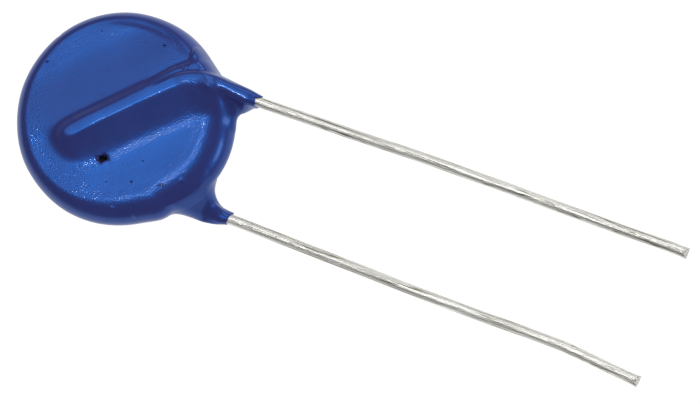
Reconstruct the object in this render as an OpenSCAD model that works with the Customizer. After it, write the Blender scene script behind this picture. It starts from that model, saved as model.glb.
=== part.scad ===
// Disc varistor, 14 mm class, epoxy dipped, two straight tinned leads.
// It lies on its rear face with the leads along +X. Millimetres, +Z up,
// floor at z = 0, origin under the middle of the bounding box.

/* [Disc] */
// diameter over the epoxy, away from the leads
coat_d = 15.0; // [14.6:0.1:15.5]
// thickness over the epoxy on the flat of the faces
coat_t = 3.0; // [2.9:0.05:3.3]
// diameter of the fired ceramic disc
ceramic_d = 13.8; // [13.0:0.1:13.9]
// thickness of the fired ceramic disc
ceramic_t = 1.9; // [1.5:0.05:1.95]
// bevel on the two edges of the ceramic disc
ceramic_bevel = 0.25; // [0.15:0.05:0.35]
// diameter of the printed silver electrode on each face
electrode_d = 12.6; // [11:0.1:12.8]
// thickness of the silver electrode
electrode_t = 0.04; // [0.02:0.01:0.05]

/* [Leads] */
// diameter of the tinned copper wire
lead_d = 0.75; // [0.6:0.05:0.8]
// distance from the disc centre to the cut tip of the front lead
front_reach = 42.2; // [32:0.1:48]
// distance from the disc centre to the cut tip of the rear lead
rear_reach = 41.6; // [38:0.1:48]
// how far the tip of the front lead droops below the line of its exit
front_droop = 0.7; // [0:0.05:1.2]
// half the length of the pinched edge left on each tip by the cutters
tip_flat = 0.12; // [0.08:0.01:0.2]
// bend radius of each lead where it crosses onto the face
cross_bend = 4.0; // [3:0.1:4.2]

/* [Epoxy] */
// height of the epoxy ridge over each lead, above the flat of the face
ridge_h = 0.76; // [0.7:0.01:0.85]
// run of the long slope on the inner side of the ridge
ridge_in = 2.3; // [1.6:0.1:2.4]
// run of the short slope on the outer side of the ridge
ridge_out = 0.75; // [0.5:0.05:0.9]
// how far the epoxy reaches beyond the disc between the two leads
web = 0.75; // [0.4:0.05:0.9]
// distance from the disc centre to the epoxy end on the leads
dip_end = 9.35; // [9.0:0.05:9.6]
// thickness of the epoxy lip around the wire at its end
lip = 0.09; // [0.07:0.01:0.12]

/* [Hidden] */

hf = coat_t/2;                 // half thickness at the flat of the face
rf = coat_d/2 - hf;            // radius where the face starts to turn down
film = 0.03;                   // solder left under the wire
gap = 0.01;                    // runs of wire stop this far short of their joints
zl = ceramic_t/2 + electrode_t + film + lead_d/2;  // wire axis from mid plane
zc = hf + ridge_h;             // mid plane above the floor
zr = zc - lead_d/2;            // drop from mid plane to the resting wire axis
x0 = (front_reach - coat_d/2)/2;   // disc centre to the middle of the box

// ------------------------------------------------------------ wire paths
// seen from the front: long run, corner, run across the face, end
FA = [9.6, 4.36]; FC = [4.36, 5.0]; FB = [-2.80, -2.40];
RA = [9.8, -3.79]; RC = [4.26, -4.26]; RB = [-2.60, 2.60];
front_pts = [[front_reach, 5.02, zl - front_droop], [24, 4.78, zl - 0.12],
             [FA.x, FA.y, zl], [FC.x, FC.y, zl], [FB.x, FB.y, zl]];
rear_pts = [[rear_reach, -4.32, -zr], [35.6, -3.87, -zl - (zr - zl)*0.78],
            [24, -3.92, -zl - (zr - zl)*0.45], [RA.x, RA.y, -zl],
            [RC.x, RC.y, -zl], [RB.x, RB.y, -zl]];
front_bends = [20, 6, cross_bend];
rear_bends = [12, 20, 6, cross_bend];

function unit(v) = v/norm(v);
function sm(t) = let (c = min(max(t, 0), 1)) c*c*(3 - 2*c);

// a path in plan: [tangent point, direction] of the outer run, the same of the
// run across the face, bend centre, bend radius, inner run length, end point
function plan(A, C, B, R) =
    let (a = unit(A - C), b = unit(B - C), g = acos(a*b), t = R/tan(g/2))
    [C + a*t, a, C + b*t, b, C + unit(a + b)*R/sin(g/2), R, norm(B - C) - t, B];
front_plan = plan(FA, FC, FB, cross_bend);
rear_plan = plan(RA, RC, RB, cross_bend);

// ------------------------------------------------------------ epoxy
// section of the ridge around the wire axis, from below on the outer side,
// over the crest and down the long inner slope
top = zc - zl;                 // crest above the wire axis
foot = hf - zl;                // flat of the face above the wire axis
w1 = 0.30; w2 = 0.34;          // half widths of the crest, outer and inner
function fall(f) = foot + (top - foot)*f;
ridge_sec = [
    [w1 + ridge_out - 0.15, -0.9], [w1 + ridge_out, -0.4], [w1 + ridge_out + 0.02, foot - 0.09],
    [w1 + ridge_out, foot - 0.005], [w1 + 0.78*ridge_out, fall(0.13)], [w1 + 0.5*ridge_out, fall(0.42)],
    [w1 + 0.24*ridge_out, fall(0.73)], [w1 + 0.02, fall(0.93)], [0.14, fall(0.99)], [0, top],
    [-0.14, fall(0.99)], [-w2, fall(0.94)], [-w2 - 0.15*ridge_in, fall(0.83)],
    [-w2 - 0.35*ridge_in, fall(0.64)], [-w2 - 0.55*ridge_in, fall(0.45)],
    [-w2 - 0.75*ridge_in, fall(0.25)], [-w2 - 0.92*ridge_in, fall(0.09)],
    [-w2 - 1.06*ridge_in, foot - 0.005], [-w2 - 1.1*ridge_in, foot - 0.09],
    [-w2 - 1.0*ridge_in, -0.45], [-w2 - 0.75*ridge_in, -0.9]];
K = len(ridge_sec);
leg_sec = [for (k = [0:K - 1]) let (a = -80 + 340*k/(K - 1)) [cos(a), sin(a)]];

// one station: [centre, outward, blend to the bare leg, leg radius, cap scale, skew]
function stations(P, stop) =
    let (O = P[4], R = P[5], nA = unit(P[0] - O), nB = unit(P[2] - O),
         turn = acos(nA*nB), cap = 1.5, run = (stop - P[0].x)/P[1].x, r1 = lead_d/2 + lip)
    concat(
        [for (i = [0:5]) let (t = sin(90*(1 - i/5.6))) [P[7] + P[3]*cap*t, nB, 0, 1, sqrt(1 - t*t*0.995), 0]],
        [for (i = [0:5]) [P[7] - P[3]*P[6]*i/5, nB, 0, 1, 1, 0]],
        [for (i = [1:9]) let (f = i/9, n = unit(nB*sin(turn*(1 - f)) + nA*sin(turn*f)))
            [O + n*R, n, 0.5*sm(f*1.1 - 0.15), 0.80, 1, 0]],
        [for (i = [1:8]) let (f = i/8)
            [P[0] + P[1]*run*f, nA, 0.5 + 0.5*sm(f*1.35), r1 + (0.80 - r1)*pow(1 - f, 1.3), 1, 0.34*max(0, f*2 - 1)]]);
module rib(P, s, stop) {
    st = stations(P, stop);
    m = len(st);
    pts = [for (q = st) let (t = cross([0, 0, 1], [q[1].x, q[1].y, 0])) for (k = [0:K - 1])
        let (g = leg_sec[k]*q[3], v = ridge_sec[k],
             c = [v.x*q[4], -0.9 + (v.y + 0.9)*(0.35 + 0.65*q[4]) - 0.12*(1 - q[4])],
             w = c*(1 - q[2]) + g*q[2])
        [q[0].x + q[1].x*w.x - s*t.x*q[5]*w.x, q[0].y + q[1].y*w.x - s*t.y*q[5]*w.x, s*(zl + w.y)]];
    tris = concat(
        [for (i = [0:m - 2]) for (k = [0:K - 1]) let (j = (k + 1)%K, a = i*K, b = (i + 1)*K)
            each [[a + k, b + k, b + j], [a + k, b + j, a + j]]],
        [[for (k = [0:K - 1]) k], [for (k = [K - 1:-1:0]) (m - 1)*K + k]]);
    polyhedron(points = pts, faces = tris, convexity = 6);
}
// a disc of radius r and half thickness h with a full round rim
module pill(r, h, squash = 1)
    rotate_extrude($fn = 96) {
        translate([0, -h]) square([r - h*squash, 2*h]);
        translate([r - h*squash, 0]) intersection() {
            circle(r = h, $fn = 64);
            translate([0, -h]) square([h, 2*h]);
        }
    }
// the dip closes in a straight line between the leads, so the rim swells there
module dip() {
    pill(coat_d/2, hf);
    translate([2, 0.15, 0]) pill(coat_d/2 + web - 2, hf - 0.02);
    translate([5.0, 2.0, 0.28]) pill(coat_d/2 + web - 5.05, hf - 0.32);
    translate([5.0, -1.7, -0.28]) pill(coat_d/2 + web - 5.05, hf - 0.32);
    rib(front_plan, 1, dip_end);
    rib(rear_plan, -1, dip_end + 0.2);
}

// ------------------------------------------------------------ round wire
module at(o, x, z) {
    y = cross(z, x);
    multmatrix([[x.x, y.x, z.x, o.x], [x.y, y.y, z.y, o.y], [x.z, y.z, z.z, o.z], [0, 0, 0, 1]])
        children();
}
function side(d) = unit(cross([0, 0, 1], d));
module bar(a, b) {
    d = unit(b - a);
    at(a, side(d), d) cylinder(r = lead_d/2, h = norm(b - a), $fn = 48);
}
module bend(C, e1, e2, R) {
    g = acos(e1*e2);
    O = C + unit(e1 + e2)*R/sin(g/2);
    x = unit(C + e1*R/tan(g/2) - O);
    a = 180 - g;
    s = gap/R*57.29578;
    at(O, x, unit(cross(x, unit(C + e2*R/tan(g/2) - O))))
        rotate([0, 0, s]) rotate_extrude(angle = a - 2*s, $fn = 96)
            translate([R, 0]) circle(r = lead_d/2, $fn = 48);
}
// a ring a few microns proud that carries one run of wire into the next
module joint(o, d)
    at(o - d*2.5*gap, side(d), d) cylinder(r = lead_d/2 + 0.003, h = 5*gap, $fn = 48);
function cut_in(P, i, R) = let (e1 = unit(P[i - 1] - P[i]), e2 = unit(P[i + 1] - P[i]))
    R/tan(acos(e1*e2)/2);
module wire(P, R) {
    n = len(P);
    for (i = [0:n - 2]) {
        d = unit(P[i + 1] - P[i]);
        s = i == 0 ? 0 : cut_in(P, i, R[i - 1]);
        e = i == n - 2 ? 0 : cut_in(P, i + 1, R[i]);
        bar(P[i] + d*(i == 0 ? 0 : s + gap), P[i + 1] - d*(i == n - 2 ? 0 : e + gap));
        if (i > 0) joint(P[i] + d*s, d);
        if (i < n - 2) joint(P[i + 1] - d*e, d);
    }
    for (i = [1:n - 2])
        bend(P[i], unit(P[i - 1] - P[i]), unit(P[i + 1] - P[i]), R[i - 1]);
}
// the two slanted bites of the cutters at a tip, above and below the edge
module bites(P) {
    d = unit(P[1] - P[0]);
    for (s = [-1, 1])
        at(P[0], side(d), d)
            rotate([-s*38, 0, 0]) translate([-1, s > 0 ? tip_flat : -tip_flat - 2, -1.2])
                cube([2, 2, 2.4]);
}

// ------------------------------------------------------------ solder bead
function bead_half() = concat([[0, 0], [0.82, 0]],
    [for (i = [0:6]) let (t = i/6) [0.82 - 0.48*sm(t)*0.9 - 0.048*t, 0.02 + 0.46*t*t*(1.6 - 0.6*t)]],
    [[0, 0.48]]);
module bead(P, s) {
    a = P[2] + P[3]*0.2;
    b = P[7] + P[3]*0.15;
    h = bead_half();
    z = s*(ceramic_t/2 + electrode_t);
    translate([a.x, a.y, z]) mirror([0, 0, s > 0 ? 0 : 1]) {
        d = b - a;
        rotate([0, 0, atan2(d.y, d.x)]) {
            rotate([90, 0, 90]) linear_extrude(norm(d))
                polygon(concat(h, [for (i = [len(h) - 2:-1:1]) [-h[i].x, h[i].y]]));
            rotate([0, 0, 90]) rotate_extrude(angle = 180, $fn = 64) polygon(h);
            translate([norm(d), 0, 0]) rotate([0, 0, -90])
                rotate_extrude(angle = 180, $fn = 64) polygon(h);
        }
    }
}

// ------------------------------------------------------------ pieces
module lie() translate([-x0, 0, zc]) children();

module raw_ceramic()
    rotate_extrude($fn = 96) polygon([[0, -ceramic_t/2], [ceramic_d/2 - ceramic_bevel, -ceramic_t/2],
        [ceramic_d/2, -ceramic_t/2 + ceramic_bevel], [ceramic_d/2, ceramic_t/2 - ceramic_bevel],
        [ceramic_d/2 - ceramic_bevel, ceramic_t/2], [0, ceramic_t/2]]);
module raw_electrode(s)
    translate([0, 0, s > 0 ? ceramic_t/2 : -ceramic_t/2 - electrode_t])
        cylinder(d = electrode_d, h = electrode_t, $fn = 96);
module raw_front_wire() wire(front_pts, front_bends);
module raw_rear_wire() wire(rear_pts, rear_bends);

module epoxy_coating() color([0.17, 0.29, 0.62]) lie() difference() {
    dip();
    raw_ceramic();
    raw_electrode(1);
    raw_electrode(-1);
    bead(front_plan, 1);
    bead(rear_plan, -1);
    raw_front_wire();
    raw_rear_wire();
}
module ceramic_disc() color([0.22, 0.23, 0.22]) lie() raw_ceramic();
module front_electrode() color([0.86, 0.86, 0.83]) lie() raw_electrode(1);
module rear_electrode() color([0.86, 0.86, 0.83]) lie() raw_electrode(-1);
module front_solder() color([0.70, 0.71, 0.72]) lie() difference() {
    bead(front_plan, 1);
    raw_front_wire();
}
module rear_solder() color([0.70, 0.71, 0.72]) lie() difference() {
    bead(rear_plan, -1);
    raw_rear_wire();
}
module front_lead() color([0.80, 0.79, 0.76]) lie() difference() {
    raw_front_wire();
    bites(front_pts);
}
module rear_lead() color([0.80, 0.79, 0.76]) lie() difference() {
    raw_rear_wire();
    bites(rear_pts);
}

epoxy_coating();
ceramic_disc();
front_electrode();
rear_electrode();
front_solder();
rear_solder();
front_lead();
rear_lead();
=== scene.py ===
import math

import bpy
import numpy as np
from mathutils import Matrix, Vector


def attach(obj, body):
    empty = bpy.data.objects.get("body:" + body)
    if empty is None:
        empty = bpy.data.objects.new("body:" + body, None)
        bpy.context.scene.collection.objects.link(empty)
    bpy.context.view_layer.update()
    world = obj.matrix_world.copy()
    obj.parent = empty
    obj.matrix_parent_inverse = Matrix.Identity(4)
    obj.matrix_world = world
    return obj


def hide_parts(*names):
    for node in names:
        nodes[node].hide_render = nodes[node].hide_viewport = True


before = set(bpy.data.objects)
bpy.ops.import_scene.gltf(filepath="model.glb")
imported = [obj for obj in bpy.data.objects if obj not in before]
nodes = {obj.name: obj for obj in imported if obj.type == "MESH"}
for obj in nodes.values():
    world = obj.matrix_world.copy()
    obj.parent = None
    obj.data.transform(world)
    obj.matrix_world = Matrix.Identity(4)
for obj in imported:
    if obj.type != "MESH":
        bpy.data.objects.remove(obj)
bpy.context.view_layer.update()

MM = 0.001
X0, ZC = 17.35, 2.26            # disc centre: -X0 along X, ZC above the floor, mm
OFF = np.array([-X0, 0.0, ZC])

# ---------------------------------------------------------------- camera
# long lens, 17.2 degrees off the disc's normal, the leads running down to the right
TILT, TURN, ROLL = math.radians(17.2), math.radians(15.6), math.radians(36.9)
va = np.array([math.cos(TURN), -math.sin(TURN), 0.0])
vb = np.array([-math.sin(TURN), -math.cos(TURN), 0.0])
vz = np.array([0.0, 0.0, 1.0])
ve = math.cos(TILT) * va - math.sin(TILT) * vz
cam_r = math.cos(ROLL) * ve - math.sin(ROLL) * vb
cam_d = math.sin(ROLL) * ve + math.cos(ROLL) * vb
cam_n = math.sin(TILT) * va + math.cos(TILT) * vz
FIELD = 48.88                   # width of the view at the disc, mm
LENS = 900.0
aim = OFF + 15.92 * cam_r + 5.80 * cam_d
back = LENS * FIELD / 36.0
cam_data = bpy.data.cameras.new("camera")
cam_data.sensor_width = 36.0
cam_data.lens = LENS
cam_data.clip_start, cam_data.clip_end = 0.05, 10.0
cam = bpy.data.objects.new("camera", cam_data)
bpy.context.scene.collection.objects.link(cam)
m = Matrix.Identity(4)
for k, v in enumerate((cam_r, -cam_d, cam_n)):
    for i in range(3):
        m[i][k] = v[i]
for i in range(3):
    m[i][3] = (aim[i] + cam_n[i] * back) * MM
cam.matrix_world = m
bpy.context.scene.camera = cam


# ---------------------------------------------------------------- noise
def waves(seed, low, high, n=28):
    """A smooth random field, made of plane waves between two wavelengths in mm."""
    g = np.random.default_rng(seed)
    v = g.normal(size=(n, 3))
    v /= np.linalg.norm(v, axis=1)[:, None]
    k = 2 * math.pi / g.uniform(low, high, n)
    return v * k[:, None], g.uniform(0, 2 * math.pi, n)


def noise(field, p):
    k, ph = field
    out = np.zeros(len(p))
    for a, b in zip(k, ph):
        out += np.sin(p @ a + b)
    return out * math.sqrt(2.0 / len(ph))


# ---------------------------------------------------------------- wire paths
ZL = 1.395                      # wire axis from the disc's middle plane
FRONT = [(41.9, 5.02, 0.695), (24, 4.78, 1.275), (9.6, 4.36, ZL), (4.19, 4.82, ZL), (-2.8, -2.4, ZL)]
REAR = [(41.35, -4.32, -1.885), (35.6, -3.87, -1.777), (24, -3.92, -1.6155), (9.8, -3.79, -ZL),
        (4.26, -4.26, -ZL), (-2.6, 2.6, -ZL)]


def unit(v):
    v = np.asarray(v, float)
    return v / np.linalg.norm(v)


class Plan:
    """The wire seen square to the disc: straight run out, bend, straight run over the face."""

    def __init__(self, A, C, B, R, side):
        A, C, B = (np.array(q[:2], float) for q in (A, C, B))
        self.a, self.b = unit(A - C), unit(B - C)
        g = math.acos(self.a @ self.b)
        t = R / math.tan(g / 2)
        self.PA, self.PB, self.B, self.R, self.side = C + self.a * t, C + self.b * t, B, R, side
        self.O = C + unit(self.a + self.b) * R / math.sin(g / 2)
        self.inner = np.linalg.norm(B - C) - t
        self.arc = R * (math.pi - g)

    def __call__(self, x, y):
        """Distance across the wire (outside of the bend is positive) and along it from the
        start of the bend, towards the end under the epoxy."""
        nA, nB = unit(self.PA - self.O), unit(self.PB - self.O)
        ux, uy = x - self.O[0], y - self.O[1]
        da = ux * self.a[0] + uy * self.a[1]          # beyond the bend on the outer run
        db = ux * self.b[0] + uy * self.b[1]          # beyond the bend on the inner run
        ra = ux * nA[0] + uy * nA[1]
        rb = ux * nB[0] + uy * nB[1]
        rad = np.hypot(ux, uy)
        ang = np.arccos(np.clip(ra / np.maximum(rad, 1e-6), -1, 1))
        s = np.where(da > 0, ra, np.where(db > 0, rb, rad)) - self.R
        t = np.where(da > 0, -da, np.where(db > 0, self.arc + db, ang * self.R))
        return s, t


PF = Plan(FRONT[2], FRONT[3], FRONT[4], 4.0, 1)
PR = Plan(REAR[3], REAR[4], REAR[5], 4.0, -1)


# ---------------------------------------------------------------- epoxy shape
def smooth(t):
    t = np.clip(t, 0, 1)
    return t * t * (3 - 2 * t)


def ramp(x, w):
    return 0.5 * (x + np.sqrt(x * x + w * w))


def smin(a, b, k):
    h = np.maximum(k - np.abs(a - b), 0) / k
    return np.minimum(a, b) - h * h * h * k / 6


HF = 1.5                        # half thickness at the flat of the face
RIDGE = 0.74                    # height of the epoxy over the wires
APRON = 0.27                    # part of that height taken by the gentle rise beside the ridge


def soften(v, n=9, rounds=3):
    for _ in range(rounds):
        v = sum(np.roll(v, k) for k in range(-n, n + 1)) / (2 * n + 1)
    return v


# width of the rounding from the flat of the face to the rim, by direction, in degrees
AROUND = np.arange(360.0)
ROUND = soften(np.interp(AROUND, [0, 21, 45, 62, 85, 131, 165, 201, 246, 291, 315, 336, 360],
                         [2.30, 2.05, 1.50, 1.00, 0.80, 0.80, 1.00, 1.10, 1.15, 1.74, 1.95, 2.18, 2.30]))


def by_angle(table, deg):
    return np.interp(deg % 360.0, np.append(AROUND, 360.0), np.append(table, table[0]))


def along(q, pairs):
    return np.interp(q, [p[0] for p in pairs], [p[1] for p in pairs])


def ridge(path, x, y, front):
    """Height of the epoxy over the wire, above the flat of the face."""
    s, t = path(x, y)
    run = path.arc + path.inner
    past = ramp(t - run + 0.1, 0.9)
    q = run - t
    out = s > 0
    crest = np.where(out, 0.42, along(q, [(0, 0.34), (5, 0.36), (8, 0.46), (10, 0.60), (12, 0.60)]))
    foot = np.where(out, along(q, [(0, 0.98), (5, 0.90), (8, 0.90), (12, 0.90)]),
                    along(q, [(0, 2.35), (2.5, 2.62), (5, 2.66), (8, 2.80), (10, 2.68), (12, 2.40)]))
    u, v = s / foot, past / 1.30
    rad = np.sqrt(u * u + v * v) + 1e-9
    w = (u * u * foot + v * v * 1.30) / (rad * rad)
    d = rad * w
    c = u * u / (rad * rad)                               # 1 across the wire, 0 past its end
    crest = crest * c + 0.62 * (1 - c)
    w1 = np.where(out, 0.10, 0.09) * c + 0.14 * (1 - c)
    w2 = np.where(out, 0.14, 0.45) * c + 0.34 * (1 - c)
    slope = RIDGE / (w - crest)
    h = RIDGE - slope * (ramp(d - crest, w1) - ramp(-crest, w1)) + slope * (ramp(d - w, w2) - ramp(-w, w2))
    apron = np.where(out, APRON * c, 0.0)
    h = h * (1 - apron / RIDGE)
    if front:
        # at the bend the outer side steps down to a shelf before it falls to the face
        edge = along(q, [(6.5, 0.90), (8, 0.98), (9.5, 1.15), (11, 1.60), (12.5, 2.20)])
        first = along(q, [(6.5, 0.0), (8, 0.16), (10, 0.22), (12, 0.22)])
        wall = along(q, [(9, 0.50), (12, 0.95)])
        h2 = RIDGE - apron - first * smooth((s - 0.14) / 0.32) - (RIDGE - apron - first) * smooth((s - edge + 0.45) / wall)
        g = smooth((q - 6.0) / 1.5)
        h = np.where(out, h * (1 - g) + h2 * g, h)
    h = np.maximum(h, 0) + apron * (1 - smooth((s - 0.4) / 4.4))
    sink = 1 - 0.08 * smooth((2.2 - q) / 2.2)            # the crest dips a little to its end
    return np.maximum(h, 0) * sink


def outline(x, y):
    """Signed distance in plan to the disc's rim, which swells between the leads."""
    deg = np.degrees(np.arctan2(y, x))
    d = np.hypot(x, y) - 7.53 + 0.02 * np.exp(-((deg - 47) / 6) ** 2) - 0.24 * np.exp(-((deg + 45) / 8) ** 2)
    e = np.hypot(x - 2.0, y - 0.15) - 6.26
    return smin(d, e, 0.35)


def curve(pairs):
    """A smooth curve through a few values along the lead, from its torn end inwards."""
    xs = np.arange(-1.0, 10.0, 0.05)
    v = np.interp(xs, [p[0] for p in pairs], [p[1] for p in pairs])
    pad = np.concatenate([np.full(12, v[0]), v, np.full(12, v[-1])])
    k = np.exp(-(np.arange(-12, 13) / 5.0) ** 2)
    v = np.convolve(pad, k / k.sum(), "valid")
    return lambda q: np.interp(q, xs, v)


# the two sides of each sleeve in plan and its half depth, by distance in from the torn end
OUTER_F = curve([(0, 0.44), (0.35, 0.455), (0.8, 0.49), (1.3, 0.51), (1.9, 0.48), (2.4, 0.43), (2.9, 0.42), (9, 0.42)])
INNER_F = curve([(0, -0.47), (0.3, -0.48), (0.7, -0.52), (1.2, -0.58), (2, -0.60), (9, -0.60)])
DEPTH_F = curve([(0, 0.44), (0.5, 0.50), (1.2, 0.60), (2.2, 0.70), (3.3, 0.79), (9, 0.80)])
OUTER_R = curve([(0, 0.40), (0.4, 0.46), (0.84, 0.58), (1.38, 0.64), (2.06, 0.57), (2.65, 0.53), (3.4, 0.54), (9, 0.55)])
INNER_R = curve([(0, -0.36), (0.2, -0.41), (0.8, -0.61), (1.42, -0.88), (2.0, -1.10), (9, -1.2)])
DEPTH_R = curve([(0, 0.42), (0.5, 0.50), (1.2, 0.60), (2.2, 0.68), (9, 0.72)])


def sleeve(path, x, y, z, stop, wire_z, outer, inner, depth, lean, gone):
    """The sleeve of epoxy that runs out along a wire. Gives a signed distance, the distance
    across and along the wire and the distance in from the torn end."""
    s, t = path(x, y)
    back = np.clip((stop - path.PA[0]) / path.a[0] + t, 0, 9)
    r = (outer(back) - inner(back)) / 2
    mid = (outer(back) + inner(back)) / 2
    deep = depth(back) / r
    up = 1.0 if wire_z > 0 else -1.0
    tilt = lean * (s - mid) * smooth((back - 0.3) / 0.9) * smooth(((wire_z - z) * up + 0.3) / 0.5)
    dz = (z - wire_z) * up + up * tilt + 1.2 * smooth((t - gone + 0.6) / 2.6)
    p = 2.1 + 0.5 * smooth((back - 0.1) / 0.7)            # squarer in section at the root
    d = (np.abs(s - mid) ** p + np.abs(dz / deep) ** p + 1e-9) ** (1 / p)
    return d - (r - 1.2 * smooth((t - gone) / 1.8)), s, t, back


def plate(edge, across, t, half, k, inset, z, mid, thin, round_off):
    """The web between a sleeve and the disc: a sheet with a rounded edge that fills the corner
    between the two outlines in plan."""
    p = smin(edge + inset, np.abs(across) - half + 0.10, k)
    p = p + 2.0 * smooth((np.abs(across) - 2.2) / 1.8) + 12.0 * smooth((t - 1.8) / 2.2)
    q = np.maximum(p / round_off + 1, 0) * thin
    return np.sqrt(q * q + (z - mid) ** 2) - thin


def jag(th, seed, amp):
    """The torn edge where the epoxy ends, as a function of the angle round the wire."""
    g = np.random.default_rng(seed)
    out = 0.0 * th
    for n in (1, 2, 3, 5, 8, 13):
        out = out + np.sin(n * th + g.uniform(0, 2 * math.pi)) * g.uniform(0.5, 1.0) / n ** 0.75
    return out * amp


def body(x, y, z):
    up = z > 0
    hu = HF + ridge(PF, x, y, True)
    hd = HF + ridge(PR, x, y, False)
    r = np.hypot(x, y)
    deg = np.degrees(np.arctan2(y, x))
    # beside the front lead the face steps down to a shelf inside the rim
    part = smooth((deg - 56) / 26) * smooth((126 - deg) / 34)
    hu = hu - 0.17 * part * smooth((r - 6.12 - 0.004 * (deg - 60)) / 0.42)
    # a pit in the face below the ridge
    px, py = 0.93 * (x - 0.24) + 0.363 * (y + 3.19), -0.363 * (x - 0.24) + 0.93 * (y + 3.19)
    pr = (px / 0.33) ** 2 + ((py - 0.10 * np.sin(px * 9)) / 0.19) ** 2
    hu = hu - 0.30 * np.exp(-pr) + 0.018 * np.exp(-((np.sqrt(pr) - 1.5) / 0.4) ** 2)
    zs = z * HF / np.where(up, hu, hd)
    wide = by_angle(ROUND, -deg) + (by_angle(ROUND, deg) - by_angle(ROUND, -deg)) * smooth((z + 0.7) / 1.4)
    wide = wide * (1 - 0.45 * smooth((np.where(up, hu, hd) - HF) / RIDGE))
    q = np.maximum(outline(x, y) / wide + 1, 0) * HF
    f = np.sqrt(q * q + zs * zs) - HF
    # the sleeves, torn off at their ends, and the webs beside them
    lf, sf, tf, qf = sleeve(PF, x, y, z, 9.45, ZL, OUTER_F, INNER_F, DEPTH_F, 0.0, 3.2)
    lr, sr, tr, qr = sleeve(PR, x, y, z, 9.65, -ZL, OUTER_R, INNER_R, DEPTH_R, 0.50, 1.6)
    e = outline(x, y)
    top = 1.85 - 0.52 * np.clip(-sf - 0.20, 0, 2.4)
    bot = -0.30
    wide = 0.38 + 0.38 * smooth((qf - 0.45) / 0.7)
    webf = plate(e, sf + 0.12, tf, wide, np.where(sf < -0.12, 3.8, 0.6), 0.22, z, (top + bot) / 2, (top - bot) / 2, 0.55)
    top = 0.39 - 1.40 * np.clip(e, -0.28, 1.15)
    bot = -1.90
    wide = 0.44 + 0.44 * smooth((qr - 0.7) / 1.2)
    webr = plate(e, sr + 0.16, tr, wide, np.where(sr < -0.16, 4.0, 1.4), np.where(sr < -0.16, 0.40, 0.50), z, (top + bot) / 2, (top - bot) / 2, 0.42)
    f = smin(f, webf, 0.5)
    f = smin(f, webr, 0.55)
    f = smin(f, lf, 0.25 + 0.55 * smooth((0.1 - sf) / 0.8) * smooth((1.6 - tf) / 1.2))
    f = smin(f, lr, 0.32)
    # a nick in the rim
    f = f + 0.20 * np.exp(-((x + 6.40) ** 2 + (y - 3.94) ** 2) / 0.15 ** 2 - ((z - 0.55) / 0.40) ** 2)
    # end faces
    wy = 4.36 - 0.085 * (x - 9.6)
    th = np.arctan2(z - ZL, y - wy)
    cut_f = x - (9.02 + 0.40 * smooth(np.cos(th)) + jag(th, 5, 0.05))
    wy = -3.79 + 0.085 * (x - 9.8)
    th = np.arctan2(z + ZL, y - wy)
    cut_r = x - (9.60 + 0.03 * np.cos(th - 0.4) + jag(th, 12, 0.035))
    cut = np.where(y > 0, cut_f, cut_r)
    return -smin(-f, -cut, 0.06)


def field(x, y, z):
    return body(x, y, z)


def surface_net(F, org, h):
    """One vertex in each mixed cell and one quad round each crossed grid edge."""
    n = np.array(F.shape)
    cells = n - 1
    acc = np.zeros((int(np.prod(cells)), 3))
    cnt = np.zeros(int(np.prod(cells)))
    S = F < 0
    quads = []
    for ax in range(3):
        lo = [slice(None)] * 3
        hi = [slice(None)] * 3
        lo[ax], hi[ax] = slice(0, -1), slice(1, None)
        A, B = F[tuple(lo)], F[tuple(hi)]
        sa = S[tuple(lo)]
        idx = np.argwhere(sa != S[tuple(hi)])
        fa, fb = A[tuple(idx.T)], B[tuple(idx.T)]
        t = fa / (fa - fb)
        p = idx.astype(float)
        p[:, ax] += t
        o1, o2 = (ax + 1) % 3, (ax + 2) % 3
        ring = []
        for d1, d2 in ((0, 0), (-1, 0), (-1, -1), (0, -1)):
            c = idx.copy()
            c[:, o1] += d1
            c[:, o2] += d2
            flat = (c[:, 0] * cells[1] + c[:, 1]) * cells[2] + c[:, 2]
            np.add.at(acc, flat, p)
            np.add.at(cnt, flat, 1)
            ring.append(flat)
        ring = np.stack(ring, 1)
        flip = ~sa[tuple(idx.T)]
        ring[flip] = ring[flip][:, ::-1]
        quads.append(ring)
    quads = np.concatenate(quads)
    used = np.nonzero(cnt)[0]
    where = np.full(len(cnt), -1)
    where[used] = np.arange(len(used))
    verts = acc[used] / cnt[used][:, None] * h + np.array(org)
    return verts, where[quads]


def gradient(p, e=0.004):
    g = np.empty_like(p)
    for i in range(3):
        d = np.zeros(3)
        d[i] = e
        a, b = p + d, p - d
        g[:, i] = (field(a[:, 0], a[:, 1], a[:, 2]) - field(b[:, 0], b[:, 1], b[:, 2])) / (2 * e)
    return g


def settle(p, steps=2, most=0.06):
    for _ in range(steps):
        g = gradient(p)
        f = field(p[:, 0], p[:, 1], p[:, 2])
        d = (f / np.maximum((g * g).sum(1), 1e-4))[:, None] * g
        ln = np.linalg.norm(d, axis=1)
        d *= np.minimum(1, most / np.maximum(ln, 1e-9))[:, None]
        p = p - d
    return p


def relax(p, quads, amount):
    s = np.zeros_like(p)
    c = np.zeros(len(p))
    for i in range(4):
        a, b = quads[:, i], quads[:, (i + 1) % 4]
        np.add.at(s, a, p[b])
        np.add.at(s, b, p[a])
        np.add.at(c, a, 1)
        np.add.at(c, b, 1)
    avg = s / c[:, None]
    return p + (avg - p) * amount


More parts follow.
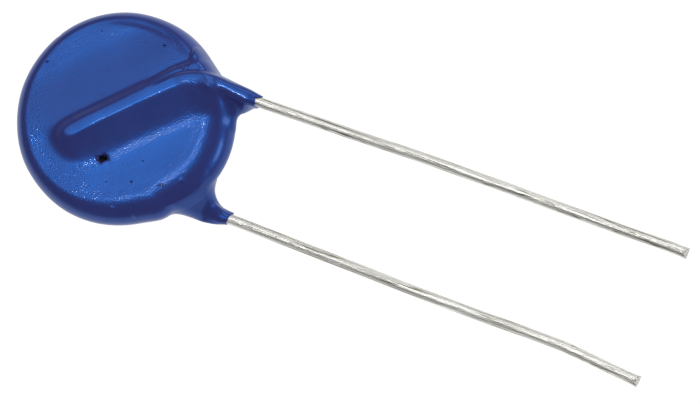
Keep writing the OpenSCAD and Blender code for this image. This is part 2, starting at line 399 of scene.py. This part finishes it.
def make_mesh(name, verts, faces, smooth_shade=True):
    me = bpy.data.meshes.new(name)
    verts = np.asarray(verts, float)
    faces = np.asarray(faces)
    k = faces.shape[1]
    me.vertices.add(len(verts))
    me.vertices.foreach_set("co", verts.astype(np.float32).ravel())
    me.loops.add(faces.size)
    me.loops.foreach_set("vertex_index", faces.astype(np.int32).ravel())
    me.polygons.add(len(faces))
    me.polygons.foreach_set("loop_start", np.arange(0, faces.size, k, dtype=np.int32))
    me.polygons.foreach_set("loop_total", np.full(len(faces), k, dtype=np.int32))
    me.update(calc_edges=True)
    me.validate()
    if smooth_shade:
        me.polygons.foreach_set("use_smooth", np.ones(len(me.polygons), dtype=bool))
    ob = bpy.data.objects.new(name, me)
    bpy.context.scene.collection.objects.link(ob)
    return ob


H = 0.084
gx = np.arange(-7.9, 10.2, H)
gy = np.arange(-7.9, 7.95, H)
gz = np.arange(-2.65, 2.7, H) + 0.013
F = field(gx[:, None, None], gy[None, :, None], gz[None, None, :])
verts, quads = surface_net(F, (gx[0], gy[0], gz[0]), H)
del F
verts = settle(verts, 2)
for _ in range(3):
    verts = relax(verts, quads, 0.5)
    verts = settle(verts, 1)
verts = settle(verts, 2)
nrm = gradient(verts)
nrm /= np.linalg.norm(nrm, axis=1)[:, None]

# unevenness of the dipped coat, a few microns to a few hundredths
slow = noise(waves(3, 3.5, 8.0), verts)
mid = noise(waves(4, 1.2, 2.6), verts)
peel = noise(waves(8, 0.45, 0.9, 40), verts)
flat = smooth((np.abs(nrm[:, 2]) - 0.90) / 0.08) * smooth((7.2 - np.hypot(verts[:, 0], verts[:, 1])) / 0.8)
verts = verts + nrm * (0.010 * slow + 0.0012 * mid + (0.0002 + 0.0003 * flat) * peel)[:, None]
coat = make_mesh("epoxy_skin", (verts + OFF) * MM, quads)
print("coat", len(verts), "verts", len(quads) * 2, "triangles")


# ---------------------------------------------------------------- wires
def rounded(points, bends, step):
    """The wire's centre line: straights and bends, as points in mm."""
    P = [np.array(q, float) for q in points]
    out = [P[0]]
    for i in range(1, len(P) - 1):
        e1, e2 = unit(P[i - 1] - P[i]), unit(P[i + 1] - P[i])
        g = math.acos(np.clip(e1 @ e2, -1, 1))
        R = bends[i - 1]
        t = R / math.tan(g / 2)
        O = P[i] + unit(e1 + e2) * R / math.sin(g / 2)
        s, e = P[i] + e1 * t, P[i] + e2 * t
        n = max(3, int((math.pi - g) * R / step))
        u, v = unit(s - O), unit(e - O)
        w = math.acos(np.clip(u @ v, -1, 1))
        for j in range(n + 1):
            f = j / n
            q = (math.sin((1 - f) * w) * u + math.sin(f * w) * v) / math.sin(w) if w > 1e-5 else u
            out.append(O + q * R)
    out.append(P[-1])
    pts = [out[0]]
    for a, b in zip(out, out[1:]):
        n = max(1, int(np.linalg.norm(b - a) / step))
        for j in range(1, n + 1):
            pts.append(a + (b - a) * j / n)
    return np.array(pts)


def wire(name, points, bends, seed):
    c = rounded(points, bends, 0.30)
    # fine steps near the snipped tip
    head = c[0] + (c[1] - c[0]) * np.linspace(0, 1, 5)[:, None]
    c = np.concatenate([head[:-1], c[1:]])
    n = len(c)
    along = np.concatenate([[0], np.cumsum(np.linalg.norm(np.diff(c, axis=0), axis=1))])
    tan = np.gradient(c, axis=0)
    tan /= np.linalg.norm(tan, axis=1)[:, None]
    e1 = np.cross([0, 0, 1.0], tan)
    e1 /= np.linalg.norm(e1, axis=1)[:, None]
    e2 = np.cross(tan, e1)
    K = 64
    th = np.linspace(0, 2 * math.pi, K, endpoint=False)
    # slow bends left in the wire by handling, and shallow lengthwise marks
    g = np.random.default_rng(seed)
    bow = 0.0 * along
    lift = 0.0 * along
    for lam in (19.0, 11.0, 6.5):
        bow = bow + 0.010 * lam / 10 * np.sin(along / lam * 2 * math.pi + g.uniform(0, 6.28))
        lift = lift + 0.006 * lam / 10 * np.sin(along / lam * 2 * math.pi + g.uniform(0, 6.28))
    free = smooth((along[-1] - along - 18.0) / 6.0) * smooth(along / 1.5)
    c = c + e1 * (bow * free)[:, None] + e2 * (lift * free)[:, None]
    R = np.full((n, K), 0.375)
    for _ in range(16):
        a0, wdt = g.uniform(0, 2 * math.pi), g.uniform(0.05, 0.13)
        l0, ln = g.uniform(0, 34), g.uniform(2.0, 9.0)
        d = np.abs((th - a0 + math.pi) % (2 * math.pi) - math.pi)
        m1 = np.exp(-(d / wdt) ** 2)
        m2 = np.exp(-(((along - l0) / ln) ** 2) * 2)
        R -= g.uniform(0.002, 0.007) * m2[:, None] * m1[None, :]
    ring = c[:, None, :] + R[:, :, None] * (np.cos(th)[None, :, None] * e1[:, None, :] + np.sin(th)[None, :, None] * e2[:, None, :])
    # the cutters' two slanted bites at the tip: the end narrows to a ridge
    ax = ring[:, :, :] - c[0]
    depth = (ax * tan[0]).sum(2)              # along the wire from the tip
    hgt = (ax * e2[0]).sum(2)                 # above and below the cut edge
    bite = np.minimum(0.12 + np.maximum(depth, 0) * 1.28, 0.6)
    new = np.sign(hgt) * np.minimum(np.abs(hgt), bite)
    near = depth < 0.6
    ring += np.where(near, new - hgt, 0.0)[:, :, None] * e2[0]
    # the pinched metal squeezes out a little to the sides
    wide = (ax * e1[0]).sum(2)
    squeeze = np.clip(1 - depth / 0.45, 0, 1) * 0.10
    ring += np.where(near, wide * squeeze, 0.0)[:, :, None] * e1[0]
    v = ring.reshape(-1, 3)
    faces = []
    i = np.arange(n - 1)[:, None] * K
    k = np.arange(K)[None, :]
    k2 = (k + 1) % K
    quads = np.stack([i + k, i + K + k, i + K + k2, i + k2], -1).reshape(-1, 4)
    # caps: shrinking rings to a small centre quad fan
    extra, base = [], len(v)
    allq = [quads]
    for end, sgn in ((0, -1), (n - 1, 1)):
        last = np.arange(K) + end * K
        cen = ring[end].mean(0)
        for f in (0.8, 0.5, 0.2):
            new = cen + (ring[end] - cen) * f
            if end == 0:
                new = new + tan[0] * 0.015 * math.sin(f * 9)
            ids = base + np.arange(K)
            extra.append(new)
            nxt = np.roll(ids, -1)
            ln = np.roll(last, -1)
            q = np.stack([last, ln, nxt, ids], -1) if sgn < 0 else np.stack([last, ids, nxt, ln], -1)
            allq.append(q)
            last = ids
            base += K
        extra.append(cen[None, :])
        cid = base
        base += 1
        half = np.arange(0, K, 2)
        a, b2, c2 = last[half], last[(half + 1) % K], last[(half + 2) % K]
        q = np.stack([a, b2, c2, np.full(len(half), cid)], -1)
        allq.append(q if sgn < 0 else q[:, ::-1])
    v = np.concatenate([v] + extra)
    ob = make_mesh(name, (v + OFF) * MM, np.concatenate(allq))
    return ob


FRONT[0], REAR[0] = (41.87, 5.016, 0.706), (41.3, -4.298, -1.88)   # tips as measured in the photo
front_wire = wire("front_wire", FRONT, (20, 6, 4), 21)
rear_wire = wire("rear_wire", REAR, (12, 20, 6, 4), 22)


# ---------------------------------------------------------------- materials
class Mat:
    """Small helper for building a node tree."""

    def __init__(self, name):
        self.m = bpy.data.materials.new(name)
        self.m.use_nodes = True
        self.t = self.m.node_tree
        self.t.nodes.clear()
        self.out = self.t.nodes.new("ShaderNodeOutputMaterial")
        self.p = self.t.nodes.new("ShaderNodeBsdfPrincipled")
        self.t.links.new(self.p.outputs[0], self.out.inputs[0])
        tc = self.t.nodes.new("ShaderNodeTexCoord")
        self.co = tc.outputs["Object"]

    def set(self, **kw):
        for k, v in kw.items():
            s = self.p.inputs[k.replace("_", " ")]
            if hasattr(v, "is_linked") or hasattr(v, "links"):
                self.t.links.new(v, s)
            else:
                s.default_value = v

    def node(self, kind, **kw):
        n = self.t.nodes.new(kind)
        for k, v in kw.items():
            if k in n.inputs:
                if hasattr(v, "links"):
                    self.t.links.new(v, n.inputs[k])
                else:
                    n.inputs[k].default_value = v
            else:
                setattr(n, k, v)
        return n

    def math(self, op, a, b=0.0, c=0.0, clamp=False):
        n = self.t.nodes.new("ShaderNodeMath")
        n.operation = op
        n.use_clamp = clamp
        for s, v in zip(n.inputs, (a, b, c)):
            if hasattr(v, "links"):
                self.t.links.new(v, s)
            else:
                s.default_value = v
        return n.outputs[0]

    def scale(self, vec, s):
        n = self.t.nodes.new("ShaderNodeVectorMath")
        n.operation = "MULTIPLY"
        self.t.links.new(vec, n.inputs[0])
        n.inputs[1].default_value = s if hasattr(s, "__len__") else (s, s, s)
        return n.outputs[0]

    def shift(self, vec, s):
        n = self.t.nodes.new("ShaderNodeVectorMath")
        n.operation = "ADD"
        self.t.links.new(vec, n.inputs[0])
        if hasattr(s, "links"):
            self.t.links.new(s, n.inputs[1])
        else:
            n.inputs[1].default_value = s
        return n.outputs[0]

    def noise(self, vec, scale, detail=2.0, rough=0.5, distortion=0.0, colour=False):
        n = self.t.nodes.new("ShaderNodeTexNoise")
        self.t.links.new(vec, n.inputs["Vector"])
        n.inputs["Scale"].default_value = scale
        n.inputs["Detail"].default_value = detail
        n.inputs["Roughness"].default_value = rough
        n.inputs["Distortion"].default_value = distortion
        return n.outputs[1 if colour else 0]

    def remap(self, v, a, b, c=0.0, d=1.0, smooth=False):
        n = self.t.nodes.new("ShaderNodeMapRange")
        n.interpolation_type = "SMOOTHSTEP" if smooth else "LINEAR"
        self.t.links.new(v, n.inputs["Value"])
        for k, q in zip(("From Min", "From Max", "To Min", "To Max"), (a, b, c, d)):
            if hasattr(q, "links"):
                self.t.links.new(q, n.inputs[k])
            else:
                n.inputs[k].default_value = q
        return n.outputs[0]

    def mix(self, f, a, b):
        n = self.t.nodes.new("ShaderNodeMix")
        n.data_type = "RGBA"
        for s, v in ((n.inputs[0], f), (n.inputs[6], a), (n.inputs[7], b)):
            if hasattr(v, "links"):
                self.t.links.new(v, s)
            else:
                s.default_value = v
        return n.outputs[2]

    def bump(self, height, distance, normal=None, strength=1.0):
        n = self.t.nodes.new("ShaderNodeBump")
        n.inputs["Strength"].default_value = strength
        n.inputs["Distance"].default_value = distance
        if hasattr(height, "links"):
            self.t.links.new(height, n.inputs["Height"])
        if normal is not None:
            self.t.links.new(normal, n.inputs["Normal"])
        return n.outputs[0]


def rgba(r, g, b):
    return (r, g, b, 1.0)


def epoxy_material():
    q = Mat("blue_epoxy")
    mm = q.scale(q.shift(q.co, (X0 * MM, 0.0, -ZC * MM)), 1000.0)     # disc frame, mm
    sep = q.node("ShaderNodeSeparateXYZ")
    q.t.links.new(mm, sep.inputs[0])
    x, y, z = sep.outputs
    cloud = q.noise(mm, 0.55, 3.0, 0.55)
    mott = q.noise(mm, 5.5, 3.0, 0.6)
    col = q.mix(q.remap(cloud, 0.35, 0.65), rgba(0.037, 0.029, 0.140), rgba(0.042, 0.032, 0.156))
    col = q.mix(q.remap(mott, 0.52, 0.70, 0.0, 0.30), col, rgba(0.030, 0.023, 0.115))
    # micro relief: strongest on the flat faces, weak on the sleeves
    r = q.math("SQRT", q.math("ADD", q.math("MULTIPLY", x, x), q.math("MULTIPLY", y, y)))
    onface = q.remap(r, 6.6, 7.6, 1.0, 0.18, True)
    fine = q.noise(mm, 8.5, 1.0, 0.5)
    # the grain stands out where the face rolls off: along its edge and at the foot of the ridge
    ring = q.math("MULTIPLY", q.remap(r, 4.8, 5.7, 0.0, 1.0, True), q.remap(r, 6.5, 7.1, 1.0, 0.0, True))
    line = q.math("SUBTRACT", q.math("MULTIPLY", q.math("SUBTRACT", y, 4.82), 0.695), q.math("MULTIPLY", q.math("SUBTRACT", x, 4.19), 0.719))
    foot = q.remap(q.math("ABSOLUTE", q.math("ADD", line, 2.75)), 0.15, 0.70, 1.0, 0.0, True)
    grit = q.remap(q.math("MAXIMUM", ring, foot), 0.0, 1.0, 0.18, 0.52)
    h = q.math("MULTIPLY", q.math("MULTIPLY", q.math("SUBTRACT", fine, 0.5), grit), onface)
    top = q.remap(z, 0.0, 0.15)

    def spot(cx, cy, rx, ry, turn, ragged, edge=0.25):
        """1 inside a small ragged patch of the front face, 0 outside."""
        c, s = math.cos(math.radians(turn)), math.sin(math.radians(turn))
        wob = q.math("MULTIPLY", q.math("SUBTRACT", q.noise(mm, 4.5 / (rx + ry), 3.0, 0.6), 0.5), ragged)
        u = q.math("ADD", q.math("MULTIPLY", q.math("SUBTRACT", x, cx), c / rx), q.math("MULTIPLY", q.math("SUBTRACT", y, cy), s / rx))
        v = q.math("ADD", q.math("MULTIPLY", q.math("SUBTRACT", x, cx), -s / ry), q.math("MULTIPLY", q.math("SUBTRACT", y, cy), c / ry))
        d = q.math("SQRT", q.math("ADD", q.math("MULTIPLY", u, u), q.math("MULTIPLY", v, v)))
        return q.math("MULTIPLY", q.remap(q.math("ADD", d, wob), 1.0 + edge, 1.0 - edge, 0.0, 1.0, True), top)

    # the pit and the pinholes: the near-black colour laid into them is painted shade of the hollows; the same mask
    # also dents them in the bump and takes away their reflection
    pit = spot(0.24, -3.19, 0.34, 0.20, 21.3, 1.3)
    painted_hole_shade = pit
    for cx, cy, rx, ry in ((-6.19, 1.79, 0.09, 0.06), (1.36, 5.72, 0.11, 0.07), (2.81, -4.0, 0.08, 0.06),
                           (4.92, -3.46, 0.13, 0.08), (4.70, -3.62, 0.06, 0.05), (1.10, -4.60, 0.06, 0.04),
                           (-3.30, 5.15, 0.05, 0.05), (3.05, -2.35, 0.06, 0.04), (-6.32, 3.90, 0.09, 0.05)):
        painted_hole_shade = q.math("MAXIMUM", painted_hole_shade, q.math("MULTIPLY", spot(cx, cy, rx, ry, 25.0, 1.0, 0.45), 0.8))
    # painted shade: the pit and the pinholes coloured near-black
    col = q.mix(painted_hole_shade, col, rgba(0.006, 0.006, 0.008))
    bubble = q.math("MAXIMUM", q.math("MAXIMUM", spot(2.24, -6.21, 0.16, 0.13, 0.0, 0.3, 0.9), spot(6.16, -2.66, 0.18, 0.13, 60.0, 0.3, 0.9)),
                    q.math("MAXIMUM", spot(3.40, 4.69, 0.10, 0.08, 0.0, 0.5, 0.8), spot(3.70, -6.11, 0.13, 0.08, 130.0, 0.6, 0.8)))
    grains = q.remap(q.noise(mm, 6.0, 2.0, 0.5), 0.70, 0.80, 0.0, 1.0, True)
    h = q.math("ADD", h, q.math("MULTIPLY", bubble, 1.6))
    h = q.math("ADD", h, q.math("MULTIPLY", q.math("MULTIPLY", grains, onface), 0.5))
    h = q.math("SUBTRACT", h, q.math("MULTIPLY", painted_hole_shade, 1.2))
    nrm = q.bump(h, 3.0e-5)
    q.set(Base_Color=col, Roughness=0.33, Normal=nrm, Metallic=0.0)
    q.p.inputs["IOR"].default_value = 1.8
    q.t.links.new(q.math("SUBTRACT", 1.0, painted_hole_shade, clamp=True), q.p.inputs["Specular IOR Level"])
    q.p.inputs["Specular Tint"].default_value = rgba(0.0, 0.25, 1.0)
    q.p.inputs["Coat Weight"].default_value = 0.17
    q.p.inputs["Coat Roughness"].default_value = 0.08
    q.p.inputs["Coat IOR"].default_value = 1.5
    q.t.links.new(nrm, q.p.inputs["Coat Normal"])
    return q.m


def tin_material():
    q = Mat("tinned_wire")
    mm = q.scale(q.co, 1000.0)
    streak = q.noise(q.scale(mm, (0.12, 9.0, 9.0)), 1.0, 3.0, 0.6)
    fine = q.noise(q.scale(mm, (0.8, 26.0, 26.0)), 1.0, 2.0, 0.5)
    spots = q.noise(mm, 3.2, 4.0, 0.6)
    col = q.mix(q.remap(streak, 0.38, 0.62), rgba(0.70, 0.69, 0.65), rgba(0.86, 0.85, 0.81))
    col = q.mix(q.remap(spots, 0.60, 0.72, 0.0, 0.5), col, rgba(0.48, 0.47, 0.42))
    # thin dark lines along the wire: painted reflection of the dark surroundings that a shiny wire shows along its
    # length
    painted_reflection_lines = q.noise(q.scale(mm, (0.035, 3.4, 3.4)), 1.0, 2.0, 0.55)
    thin = q.remap(q.math("ABSOLUTE", q.math("SUBTRACT", painted_reflection_lines, 0.5)), 0.006, 0.030, 0.85, 0.0, True)
    col = q.mix(thin, col, rgba(0.16, 0.14, 0.09))
    h = q.math("ADD", q.math("MULTIPLY", streak, 0.7), q.math("MULTIPLY", fine, 0.3))
    nrm = q.bump(h, 4.5e-5)
    rough = q.remap(spots, 0.35, 0.70, 0.34, 0.50)
    q.set(Base_Color=col, Metallic=1.0, Roughness=rough, Normal=nrm)
    return q.m


def ceramic_material():
    q = Mat("zinc_oxide")
    mm = q.scale(q.co, 1000.0)
    grain = q.noise(mm, 14.0, 3.0, 0.6)
    cloud = q.noise(mm, 1.2, 3.0, 0.5)
    col = q.mix(q.remap(grain, 0.4, 0.62), rgba(0.030, 0.034, 0.030), rgba(0.062, 0.066, 0.058))
    col = q.mix(q.remap(cloud, 0.45, 0.7, 0.0, 0.4), col, rgba(0.048, 0.043, 0.034))
    q.set(Base_Color=col, Roughness=q.remap(grain, 0.3, 0.7, 0.55, 0.75), Normal=q.bump(grain, 2.0e-5))
    return q.m


def silver_material():
    q = Mat("silver_paint")
    mm = q.scale(q.co, 1000.0)
    grain = q.noise(mm, 22.0, 2.0, 0.5)
    mesh = q.noise(q.scale(mm, (6.0, 6.0, 1.0)), 1.0, 1.0, 0.4)
    col = q.mix(q.remap(mesh, 0.35, 0.65), rgba(0.70, 0.68, 0.62), rgba(0.84, 0.83, 0.79))
    q.set(Base_Color=col, Metallic=1.0, Roughness=q.remap(grain, 0.3, 0.7, 0.38, 0.55), Normal=q.bump(grain, 1.2e-5))
    return q.m


def solder_material():
    q = Mat("solder")
    mm = q.scale(q.co, 1000.0)
    frost = q.noise(mm, 9.0, 4.0, 0.6)
    col = q.mix(q.remap(frost, 0.4, 0.65), rgba(0.50, 0.51, 0.53), rgba(0.74, 0.75, 0.77))
    q.set(Base_Color=col, Metallic=1.0, Roughness=q.remap(frost, 0.35, 0.7, 0.16, 0.42), Normal=q.bump(frost, 1.5e-5))
    return q.m


def give(ob, mat):
    ob.data.materials.clear()
    ob.data.materials.append(mat)


give(coat, epoxy_material())
tin = tin_material()
give(front_wire, tin)
give(rear_wire, tin)


def dress(name, mat):
    ob = nodes[name]
    ob = ob if hasattr(ob, "material_slots") else bpy.data.objects[name]
    if not ob.material_slots:
        ob.data.materials.append(mat)
    for s in ob.material_slots:
        s.material = mat


dress("ceramic_disc", ceramic_material())
silver = silver_material()
dress("front_electrode", silver)
dress("rear_electrode", silver)
sold = solder_material()
dress("front_solder", sold)
dress("rear_solder", sold)

for piece, node, slot in ((coat, "epoxy_coating", "epoxy"), (front_wire, "front_lead", "tinned_wire"),
                          (rear_wire, "rear_lead", "tinned_wire")):
    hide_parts(node)
    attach(piece, "root")


# ---------------------------------------------------------------- stage and light
def plane(name, size):
    me = bpy.data.meshes.new(name)
    s = size / 2
    me.from_pydata([(-s, -s, 0), (s, -s, 0), (s, s, 0), (-s, s, 0)], [], [(0, 1, 2, 3)])
    ob = bpy.data.objects.new(name, me)
    bpy.context.scene.collection.objects.link(ob)
    return ob


floor = plane("floor", 6.0)
floor.location = (0, 0, 0)
fm = Mat("pale_table")
fm.set(Base_Color=rgba(0.05, 0.05, 0.0495), Roughness=0.9)
fm.p.inputs["Emission Color"].default_value = rgba(1.0, 1.0, 0.99)
fm.p.inputs["Emission Strength"].default_value = 1.02
fm.p.inputs["Specular IOR Level"].default_value = 0.0
give(floor, fm.m)


def softbox(name, direction, distance, w, h, radiance, colour=(1, 1, 1), centre=OFF * MM):
    d = unit(direction)
    li = bpy.data.lights.new(name, "AREA")
    li.shape = "RECTANGLE"
    li.size, li.size_y = w, h
    li.energy = radiance * math.pi * w * h
    li.color = colour
    ob = bpy.data.objects.new(name, li)
    bpy.context.scene.collection.objects.link(ob)
    ob.location = Vector(centre) + Vector(d) * distance
    ob.rotation_mode = "QUATERNION"
    ob.rotation_quaternion = (-Vector(d)).to_track_quat("-Z", "Y")
    ob.visible_camera = False
    return ob


def aimed(da, db):
    """A direction given as angles from the vertical towards the view's two plan axes."""
    return unit(np.tan(math.radians(da)) * va + np.tan(math.radians(db)) * vb + vz)


DIST = 1.0
top_box = softbox("top", aimed(-20.0, -2.5), DIST, 0.54, 0.54, 1.31)
upper = softbox("upper", aimed(-18.0, -42.0), DIST, 0.42, 0.42, 2.3)
key = softbox("key", aimed(-6.0, 3.0), DIST, 0.050, 0.050, 195.0)
edge_box = softbox("edge", aimed(3.0, -58.0), DIST, 0.26, 0.26, 4.5)
side = softbox("side", (0.88, 0.08, 0.485), DIST, 0.26, 0.26, 6.0)

world = bpy.data.worlds.new("studio")
bpy.context.scene.world = world
world.use_nodes = True
wt = world.node_tree
wt.nodes.clear()
wo = wt.nodes.new("ShaderNodeOutputWorld")
bg = wt.nodes.new("ShaderNodeBackground")
bg.inputs["Color"].default_value = rgba(0.96, 0.98, 1.0)
bg.inputs["Strength"].default_value = 0.25
wt.links.new(bg.outputs[0], wo.inputs[0])

bpy.context.scene.view_settings.view_transform = "Standard"
bpy.context.scene.view_settings.look = "None"
bpy.context.scene.view_settings.exposure = 0.0
